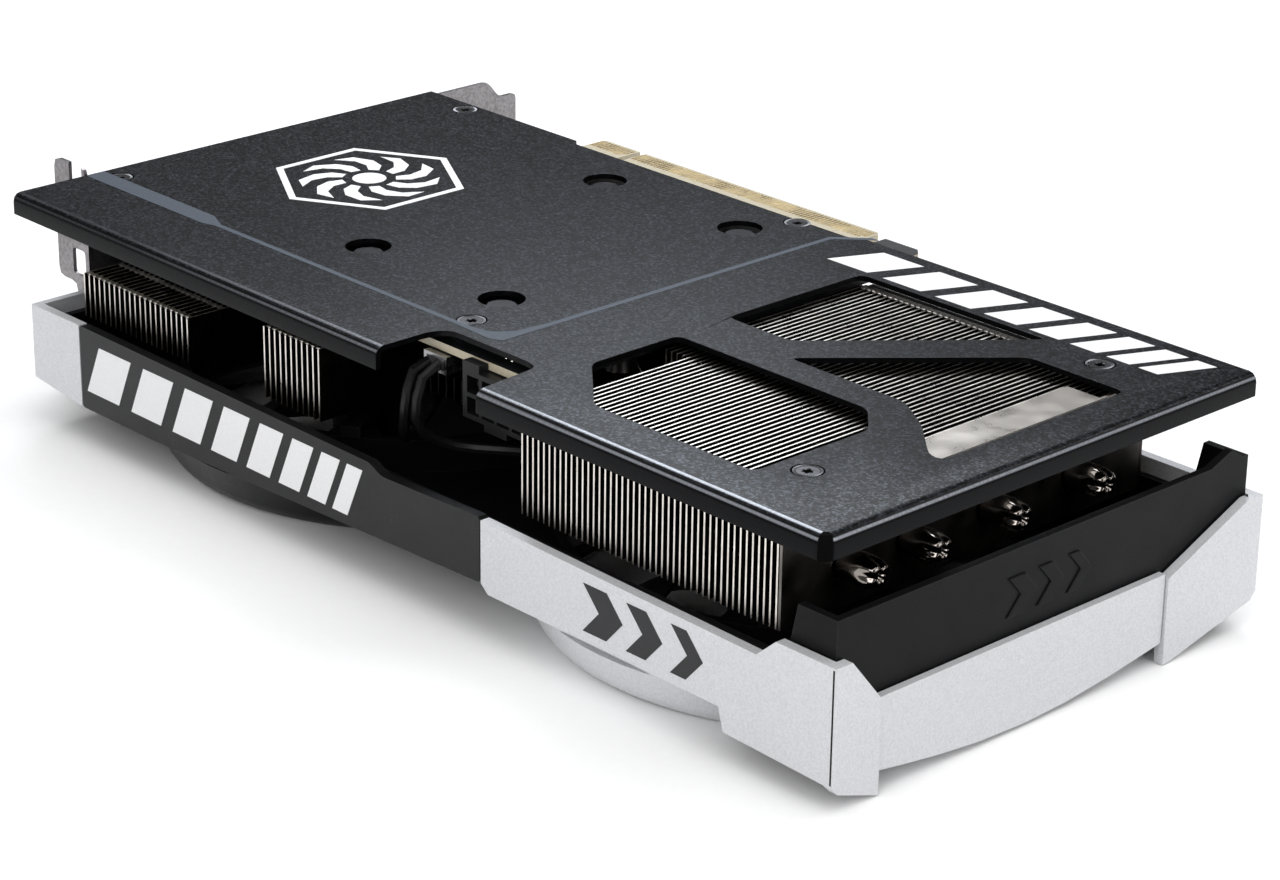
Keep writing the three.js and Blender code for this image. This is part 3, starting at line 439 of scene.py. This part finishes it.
def add_box(bm, x0, x1, y0, y1, z0, z1, place=Matrix.Identity(4)):
    centre = Vector(((x0 + x1) / 2, (y0 + y1) / 2, (z0 + z1) / 2))
    size = Matrix.Diagonal((x1 - x0, y1 - y0, z1 - z0, 1))
    made = bmesh.ops.create_cube(bm, size=1, matrix=place @ Matrix.Translation(centre) @ size)
    return made["verts"]


def add_outline(bm, outline, place, low=0.0, high=PRINT):
    """A filled outline pulled from `low` to `high` along its plane's normal."""
    rings = [[bm.verts.new(place @ Vector((u, v, w))) for u, v in outline] for w in (low, high)]
    bm.faces.new(rings[0][::-1])
    bm.faces.new(rings[1])
    count = len(outline)
    for i in range(count):
        j = (i + 1) % count
        bm.faces.new((rings[0][i], rings[0][j], rings[1][j], rings[1][i]))


def add_frame(bm, outer, inner, place, low=0.0, high=PRINT):
    """A closed frame between two outlines with the same number of points."""
    count = len(outer)
    loops = [
        [bm.verts.new(place @ Vector((u, v, w))) for u, v in outline]
        for outline, w in ((outer, low), (outer, high), (inner, high), (inner, low))
    ]
    for k in range(4):
        one, two = loops[k], loops[(k + 1) % 4]
        for i in range(count):
            j = (i + 1) % count
            bm.faces.new((one[i], one[j], two[j], two[i]))


def add_turned(bm, profile, place, sides=48):
    """A solid of revolution about the local z axis, from [radius, z] points that end on it."""
    rings = []
    for r, z in profile:
        if r == 0:
            rings.append([bm.verts.new(place @ Vector((0, 0, z)))])
            continue
        turns = [TAU * i / sides for i in range(sides)]
        spots = [Vector((r * math.cos(a), r * math.sin(a), z)) for a in turns]
        rings.append([bm.verts.new(place @ spot) for spot in spots])
    for one, two in zip(rings, rings[1:]):
        for i in range(sides):
            j = (i + 1) % sides
            corners = [one[i % len(one)], one[j % len(one)], two[j % len(two)], two[i % len(two)]]
            corners = list(dict.fromkeys(corners))
            if len(corners) > 2:
                bm.faces.new(corners)


# ---------- printed marks ----------
def make_cover_prints(finishes):
    """The blue-grey stripe and the white generic marks on the backplate."""
    stripe = bmesh.new()
    outline = [(-238, 18.4), (-197.2, 18.4), (-193.6, 19.4), (-117, 19.4), (-107.4, 19.0),
               (-104.6, 20.2), (-104.6, 28), (-104.8, 109.2), (-97.9, 116), (-99.7, 116),
               (-106.1, 109.9), (-106.1, 32.4), (-107, 25.4), (-109.9, 21.6), (-114.4, 20.7),
               (-193.4, 20.7), (-198.8, 23), (-238, 23)]
    add_outline(stripe, outline, ON_TOP)
    mesh_piece("print_stripe", stripe, ink("stripe_ink", (0.058, 0.072, 0.094)))

    bars = bmesh.new()
    add_bars(bars, -97, -5, 100, 111.2, ON_TOP)
    mesh_piece("print_cover_bars", bars, finishes["white_ink"])

    emblem = bmesh.new()
    add_emblem(emblem, (-197.5, 63), 21.5, ON_TOP)
    mesh_piece("print_emblem", emblem, finishes["white_ink"])


def add_bars(bm, u0, u1, v0, v1, place):
    """Slanted stripes that fill a rectangle's length and grow narrower along it."""
    shares = range(12, 4, -1)  # each stripe's part of the length, with the space after it
    lean, filled = 0.45 * (v1 - v0), 0.72
    left = u0
    for share in shares:
        cell = (u1 - u0 - lean) * share / sum(shares)
        right = left + cell * filled
        add_outline(bm, [(left, v0), (right, v0), (right + lean, v1), (left + lean, v1)], place)
        left += cell


def add_emblem(bm, centre, size, place):
    """A six-sided ring round a nine-bladed wheel."""
    cx, cy = centre

    def hexagon(reach):
        turns = [TAU * (k + 0.5) / 6 for k in range(6)]
        return [(cx + reach * math.cos(a), cy + reach * math.sin(a)) for a in turns]

    add_frame(bm, hexagon(size), hexagon(size * 0.92), place)
    add_wheel(bm, centre, size, place)


def add_wheel(bm, centre, size, place, low=0.0, high=PRINT):
    """Nine curved blades round a disc, reaching 0.7 of `size`."""
    cx, cy = centre
    blades, steps = 9, (0.0, 0.35, 0.7, 1.0)
    for k in range(blades):
        turn = TAU * k / blades
        lead = [(size * (0.27 + 0.43 * t), turn + 0.6 * t * t) for t in steps]
        trail = [(r, a + 0.4 - 0.1 * t) for (r, a), t in zip(lead, steps)]
        outline = [(cx + r * math.cos(a), cy + r * math.sin(a)) for r, a in lead + trail[::-1]]
        add_outline(bm, outline, place, low, high)
    turns = [TAU * k / 32 for k in range(32)]
    hub = size * 0.17
    disc = [(cx + hub * math.cos(a), cy + hub * math.sin(a)) for a in turns]
    add_outline(bm, disc, place, low, high)


def make_side_prints(finishes):
    """White bars on the near band, a dark mark on the silver trim, a raised one on the end."""
    near = box_mm("near_band")[0].y
    on_side = basis((0, near, 0), (1, 0, 0), (0, 0, 1))
    bars = bmesh.new()
    add_bars(bars, -209.5, -116.5, -35.2, -24.4, on_side)
    mesh_piece("print_band_bars", bars, finishes["white_ink"])

    dark = bmesh.new()
    add_chevrons(dark, -56, -22, -35.6, -26.2, on_side, 0.0, PRINT)
    mesh_piece("print_trim_mark", dark, ink("dark_ink", (0.03, 0.03, 0.032)))

    end = box_mm("shroud")[1].x
    on_end = basis((end, 0, 0), (0, 1, 0), (0, 0, 1))
    raised = bmesh.new()
    add_chevrons(raised, 42, 66, -26.2, -18.6, on_end, -0.2, 0.35)
    piece = mesh_piece("raised_end_mark", raised, finishes["shroud"])
    bevel = piece.modifiers.new("soft", "BEVEL")
    bevel.width, bevel.segments = 0.15 * MM, 2


def add_chevrons(bm, u0, u1, v0, v1, place, low, high):
    """Three pointed stripes that grow narrower."""
    count, middle = 3, (v0 + v1) / 2
    pitch = (u1 - u0) / count
    reach = (v1 - v0) * 0.45
    for i in range(count):
        left = u0 + i * pitch
        stroke = pitch * (0.55 - 0.1 * i)
        outline = [(left, v0), (left + stroke, v0), (left + stroke + reach, middle),
                   (left + stroke, v1), (left, v1), (left + reach, middle)]
        add_outline(bm, outline, place, low, high)


# ---------- screws ----------
def add_drive(bm, radius, place, deep=1.0):
    """A round face with a star-shaped socket sunk into it."""
    sides, lobes = 36, 6
    turns = [TAU * i / sides for i in range(sides)]

    def socket(scale):
        return [radius * scale * (0.46 + 0.07 * math.cos(lobes * a)) for a in turns]

    levels = [([radius] * sides, 0.0), (socket(1.08), 0.0), (socket(1.0), -0.12),
              (socket(0.92), -deep)]
    rings = []
    for radii, z in levels:
        spots = [Vector((r * math.cos(a), r * math.sin(a), z)) for r, a in zip(radii, turns)]
        rings.append([bm.verts.new(place @ spot) for spot in spots])
    for one, two in zip(rings, rings[1:]):
        for i in range(sides):
            j = (i + 1) % sides
            bm.faces.new((one[i], one[j], two[j], two[i]))
    bm.faces.new(rings[-1])


def make_cover_screws(finishes):
    """Each flush screw has a knurled rim and a socket; it stands for its CAD screw."""
    sunk, teeth, tooth = 0.12, 44, 0.06
    face, shank, neck = 2.1, 1.2, -1.5
    rim = [(face, 0.0), (2.2, 0.1), (2.72, 0.1), (2.78, -0.1), (2.78, -0.5), (shank, neck)]
    for i in range(1, 7):
        node = f"backplate_screw_{i}"
        low, high = box_mm(node)
        x, y = (low.x + high.x) / 2, (low.y + high.y) / 2
        place = Matrix.Translation((x, y, high.z - sunk))
        bm = bmesh.new()
        rims = []
        for r, z in rim:
            ring = []
            for k in range(2 * teeth):
                a = TAU * k / (2 * teeth)
                notch = tooth * (k % 2) if z > 0 else 0.0
                spot = Vector((r * math.cos(a), r * math.sin(a), z - notch))
                ring.append(bm.verts.new(place @ spot))
            rims.append(ring)
        for one, two in zip(rims, rims[1:]):
            for k in range(2 * teeth):
                m = (k + 1) % (2 * teeth)
                bm.faces.new((one[k], one[m], two[m], two[k]))
        add_drive(bm, face, place, 0.9)
        foot = low.z - high.z + sunk
        add_turned(bm, [(0, foot), (shank, foot), (shank, neck), (0, neck)], place, 20)
        screw = mesh_piece(f"flush_screw_{i}", bm, finishes["screw"])
        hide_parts(node)


def make_bracket_screws(finishes):
    """Domed screws through the bracket, each with a star-shaped socket."""
    for i in (1, 2):
        node = f"bracket_screw_{i}"
        low, high = box_mm(node)
        middle = (low + high) / 2
        outward = Matrix.Rotation(-math.pi / 2, 4, "Y")
        place = Matrix.Translation((low.x, middle.y, middle.z)) @ outward
        wide = (high.y - low.y) / 2
        reach = high.x - low.x
        bm = bmesh.new()
        add_drive(bm, wide * 0.62, place, 1.0)
        dome = [(wide * 0.62, 0), (wide * 0.84, -0.16), (wide * 0.96, -0.5), (wide, -0.95),
                (wide, -1.35), (wide * 0.5, -1.36), (wide * 0.5, -reach + 0.4),
                (wide * 0.38, -reach), (0, -reach)]
        add_turned(bm, dome, place, 36)
        screw = mesh_piece(f"domed_screw_{i}", bm, finishes["screw"])
        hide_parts(node)


# ---------- contacts ----------
def make_edge_contacts(finishes):
    """Gilt contacts, a millimetre apart, on both faces of the connector tongue."""
    low, high = box_mm("circuit_board")
    bm = bmesh.new()
    pitch, wide, thick = 1.0, 0.7, 0.035
    tip = high.y - 0.8
    for start, count in ((-192.1, 11), (-178.6, 71)):
        for i in range(count):
            x = start + pitch * i
            reach = 3.2 if i == count - 1 else 4.2
            for z0, z1 in ((high.z, high.z + thick), (low.z - thick, low.z)):
                add_box(bm, x, x + wide, tip - reach, tip, z0, z1)
    mesh_piece("edge_contacts", bm, finishes["gilt"])


def make_port_tongues(finishes):
    """A black tongue with a row of gilt contacts in the mouth of each display socket."""
    tongues, contacts = bmesh.new(), bmesh.new()
    for node in ("hdmi_connector", *(f"displayport_connector_{i}" for i in (1, 2, 3))):
        low, high = box_mm(node)
        middle = (low + high) / 2
        half = (high.y - low.y) * 0.34
        front, back = low.x + 1.6, low.x + 6.4
        left, right = middle.y - half, middle.y + half
        add_box(tongues, front, back, left, right, middle.z - 0.1, middle.z + 0.9)
        for i in range(10):
            y = left + (i + 0.5) * half / 5
            add_box(contacts, front + 0.3, back, y - 0.28, y + 0.28, middle.z - 0.2, middle.z - 0.1)
    bmesh.ops.bevel(tongues, geom=tongues.edges[:], offset=0.12, segments=2, affect="EDGES")
    mesh_piece("port_tongues", tongues, finishes["chip"])
    mesh_piece("port_contacts", contacts, finishes["gilt"])


# ---------- small parts ----------
def make_trim_seam(finishes):
    """The dark joint at the silver trim's corner."""
    low, high = box_mm("end_trim")
    bm = bmesh.new()
    add_box(bm, high.x - 0.75, high.x - 0.35, low.y - 0.04, low.y + 0.2, low.z + 5.5, high.z - 0.4)
    bmesh.ops.bevel(bm, geom=bm.edges[:], offset=0.03, segments=1, affect="EDGES")
    mesh_piece("trim_corner_seam", bm, finishes["shroud"])


def make_flange_slit(finishes):
    """Painted shade for the flanges' gap, laid on the rounded corner and up over its fold."""
    proud, deep, steps = 0.07, 0.4, 8
    flange = box_mm("backplate")[0].z
    # At each height: the middle of the corner's arc, its radius, and half of the gap's width.
    levels = [(flange + 0.02, 2.6, 2.6, 1.35), (-1.8, 2.6, 2.6, 1.35), (-0.9, 2.624, 2.383, 1.3),
              (-0.241, 2.689, 1.789, 1.0), (0.03, 2.777, 0.977, 0.45)]
    bm = bmesh.new()
    grids = []
    for offset, drop in ((proud, 0.0), (-deep, 0.25)):
        grid = []
        for z, middle, radius, half in levels:
            r = radius + offset
            reach = math.asin(half / (radius + proud))
            turns = [-math.pi / 4 + reach * (2 * k / steps - 1) for k in range(steps + 1)]
            z = z - drop if z > -1 else z
            spots = [(-middle + r * math.cos(a), middle + r * math.sin(a), z) for a in turns]
            grid.append([bm.verts.new(spot) for spot in spots])
        grids.append(grid)
    for grid in grids:
        for one, two in zip(grid, grid[1:]):
            for k in range(steps):
                bm.faces.new((one[k], one[k + 1], two[k + 1], two[k]))
    outer, inner = grids
    for row in (0, -1):
        for k in range(steps):
            bm.faces.new((outer[row][k], outer[row][k + 1], inner[row][k + 1], inner[row][k]))
    for k in (0, -1):
        for i in range(len(levels) - 1):
            bm.faces.new((outer[i][k], outer[i + 1][k], inner[i + 1][k], inner[i][k]))
    mesh_piece("flange_slit", bm, finishes["gap"])


def make_board_parts(finishes):
    """Solder joints and small chip parts on the board inside the backplate's notch."""
    top = box_mm("circuit_board")[1].z
    joints, chips = bmesh.new(), bmesh.new()
    for x, y in ((-109.2, 21.4), (-107.4, 21.1), (-105.6, 20.8), (-103.8, 20.5), (-101.9, 20.3)):
        place = Matrix.Translation((x, y, top))
        add_turned(joints, [(0.42, 0), (0.36, 0.16), (0.14, 0.34), (0, 0.36)], place, 16)
    for x, y, long in ((-117.5, 21.5, 1.6), (-114.6, 20.4, 1.0), (-112.2, 22.0, 1.0),
                       (-99.5, 22.3, 1.6)):
        add_box(chips, x, x + long, y, y + long / 2, top, top + 0.45)
        for end in (x - 0.12, x + long - 0.1):
            add_box(joints, end, end + 0.22, y - 0.02, y + long / 2 + 0.02, top, top + 0.47)
    bmesh.ops.bevel(chips, geom=chips.edges[:], offset=0.05, segments=1, affect="EDGES")
    mesh_piece("solder_joints", joints, finishes["tab"])
    mesh_piece("chip_parts", chips, finishes["chip"])


def make_inner_baffle(finishes):
    """A ribbed strip inside the far wall that closes the view under the board."""
    bm = bmesh.new()
    add_box(bm, -128, -92.3, 106.2, 107.2, -22.5, -6.4)
    for i in range(6):
        x = -125 + i * 6
        add_box(bm, x, x + 0.8, 107.0, 107.9, -21.5, -7.4)
    bmesh.ops.bevel(bm, geom=bm.edges[:], offset=0.12, segments=1, affect="EDGES")
    mesh_piece("inner_baffle", bm, finishes["shroud"])


def make_fan_hubs(finishes):
    """A shallow ringed cap with a plain wheel mark on each fan's hub."""
    for i in (1, 2):
        low, high = box_mm(f"fan_rotor_{i}")
        centre = ((low.x + high.x) / 2, (low.y + high.y) / 2)
        facing = Matrix.Translation((*centre, low.z)) @ Matrix.Rotation(math.pi, 4, "X")
        cap = bmesh.new()
        add_turned(cap, [(0, 0.1), (14.6, 0.1), (14.9, -0.05), (15.2, -0.05), (15.5, 0.1),
                         (16.2, 0.1), (16.6, -0.1)], facing, 96)
        mesh_piece(f"hub_cap_{i}", cap, finishes["cap"], f"fan_{i}")
        mark = bmesh.new()
        add_wheel(mark, (0, 0), 12.5, facing, 0.1, 0.14)
        mesh_piece(f"hub_mark_{i}", mark, finishes["hub_ink"], f"fan_{i}")


# ---------- cooler details ----------
def make_fold_tabs(finishes):
    """The fins' folded ends: a row of small bright tabs across each stack's top."""
    rows = {
        "fin_stack_main": (1.49, (98.6,)),
        "fin_stack_bracket_side": (1.8, (4.6, 12.6)),
        "fin_stack_near_side": (1.72, (4.6,)),
    }
    for node, (pitch, places) in rows.items():
        low, high = box_mm(node)
        bm = bmesh.new()
        for y in places:
            for i in range(int((high.x - low.x) / pitch)):
                x = low.x + i * pitch + 0.4
                add_box(bm, x, x + pitch - 0.45, y - 0.55, y + 0.55, high.z - 0.35, high.z + 0.12)
        tabs = mesh_piece(node.replace("fin_stack", "fold_tabs"), bm, finishes["tab"])
        bevel = tabs.modifiers.new("round", "BEVEL")
        bevel.width, bevel.segments = 0.16 * MM, 3


PIPE_RADIUS = 3.0
PIPE_JOINT, PIPE_NECK, PIPE_TIP = -19.0, -9.4, -4.6  # x of the kept part's end, neck and tip


def make_heat_pipes(finishes):
    """Each pipe again, with its free end crimped into soft folds instead of a plain star."""
    to_mm = Matrix.Scale(1 / MM, 4) @ Matrix.Translation(-CORNER)
    for i in range(1, 5):
        node = f"heat_pipe_{i}"
        bm = bmesh.new()
        bm.from_mesh(frame["nodes"][node].data)
        bmesh.ops.transform(bm, matrix=to_mm, verts=bm.verts)
        bmesh.ops.remove_doubles(bm, verts=bm.verts, dist=0.001)
        end = [v for v in bm.verts if v.co.x > PIPE_JOINT]
        y = sum(v.co.y for v in end) / len(end)
        z = sum(v.co.z for v in end) / len(end)
        bmesh.ops.delete(bm, geom=end, context="VERTS")
        add_crimped_end(bm, y, z, PIPE_JOINT - 3)
        name = node.replace("heat_pipe", "pipe")
        pipe = mesh_piece(name, bm, finishes["pipes"], smooth=True)
        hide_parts(node)


def add_crimped_end(bm, y, z, start):
    """A round tube whose last millimetres gather into four folds round a small hollow."""
    sides, folds, steps = 40, 4, 9
    neck, tip = PIPE_NECK, PIPE_TIP
    levels = [(start, 1.0, 0.0), (neck, 1.0, 0.0)]  # x, share of the radius, depth of the folds
    for k in range(1, steps + 1):
        t = k / steps
        x = neck + (tip - neck) * math.sin(t * math.pi / 2)
        levels.append((x, 1.04 - 0.5 * t ** 2.4, 0.42 * t ** 0.8))
    levels += [(tip - 0.3, 0.3, 0.35), (tip - 1.4, 0.16, 0.2)]
    rings = []
    for x, reach, fold in levels:
        ring = []
        for j in range(sides):
            a = TAU * j / sides
            r = PIPE_RADIUS * reach * (1 - fold * (0.5 + 0.5 * math.cos(folds * a + 0.6)) ** 2)
            ring.append(bm.verts.new((x, y + r * math.cos(a), z + r * math.sin(a))))
        rings.append(ring)
    for one, two in zip(rings, rings[1:]):
        for j in range(sides):
            m = (j + 1) % sides
            bm.faces.new((one[j], one[m], two[m], two[j]))
    bm.faces.new(rings[0])
    bm.faces.new(rings[-1])


make_camera()
make_studio()
finishes = make_finishes()

# How far a part's edges are rounded, in millimetres, and parts whose finish isn't their slot's.
ROUNDED = {"backplate": 0.12, "end_trim": 0.3, "far_corner_trim": 0.3, "bracket_trim": 0.3,
           "bracket_far_trim": 0.3, "near_band": 0.3, "far_band": 0.3, "shroud": 0.25,
           "fan_ring_1": 0.3, "fan_ring_2": 0.3}
OWN_FINISH = {"stack_end_plate": "plate", "shroud": "shroud", "fan_cable_1": "cable",
              "fan_cable_2": "cable", "fan_rotor_1": "fan", "fan_rotor_2": "fan",
              **{f"retention_screw_{i}": "hole_shade_screw" for i in range(1, 5)}}
group = smoothing_group()
for part in frame["record"]["subparts"]:
    node = frame["nodes"][part["node"]]
    finish = OWN_FINISH.get(part["node"], part["material_slot"])
    node.data.materials.clear()
    node.data.materials.append(finishes[finish])
    if not part["node"].startswith("fin_stack"):
        soften(node, group, ROUNDED.get(part["node"], 0.0))

make_cover_prints(finishes)
make_side_prints(finishes)
make_cover_screws(finishes)
make_bracket_screws(finishes)
make_edge_contacts(finishes)
make_port_tongues(finishes)
make_fold_tabs(finishes)
make_heat_pipes(finishes)
make_trim_seam(finishes)
make_flange_slit(finishes)
make_board_parts(finishes)
make_fan_hubs(finishes)
make_inner_baffle(finishes)
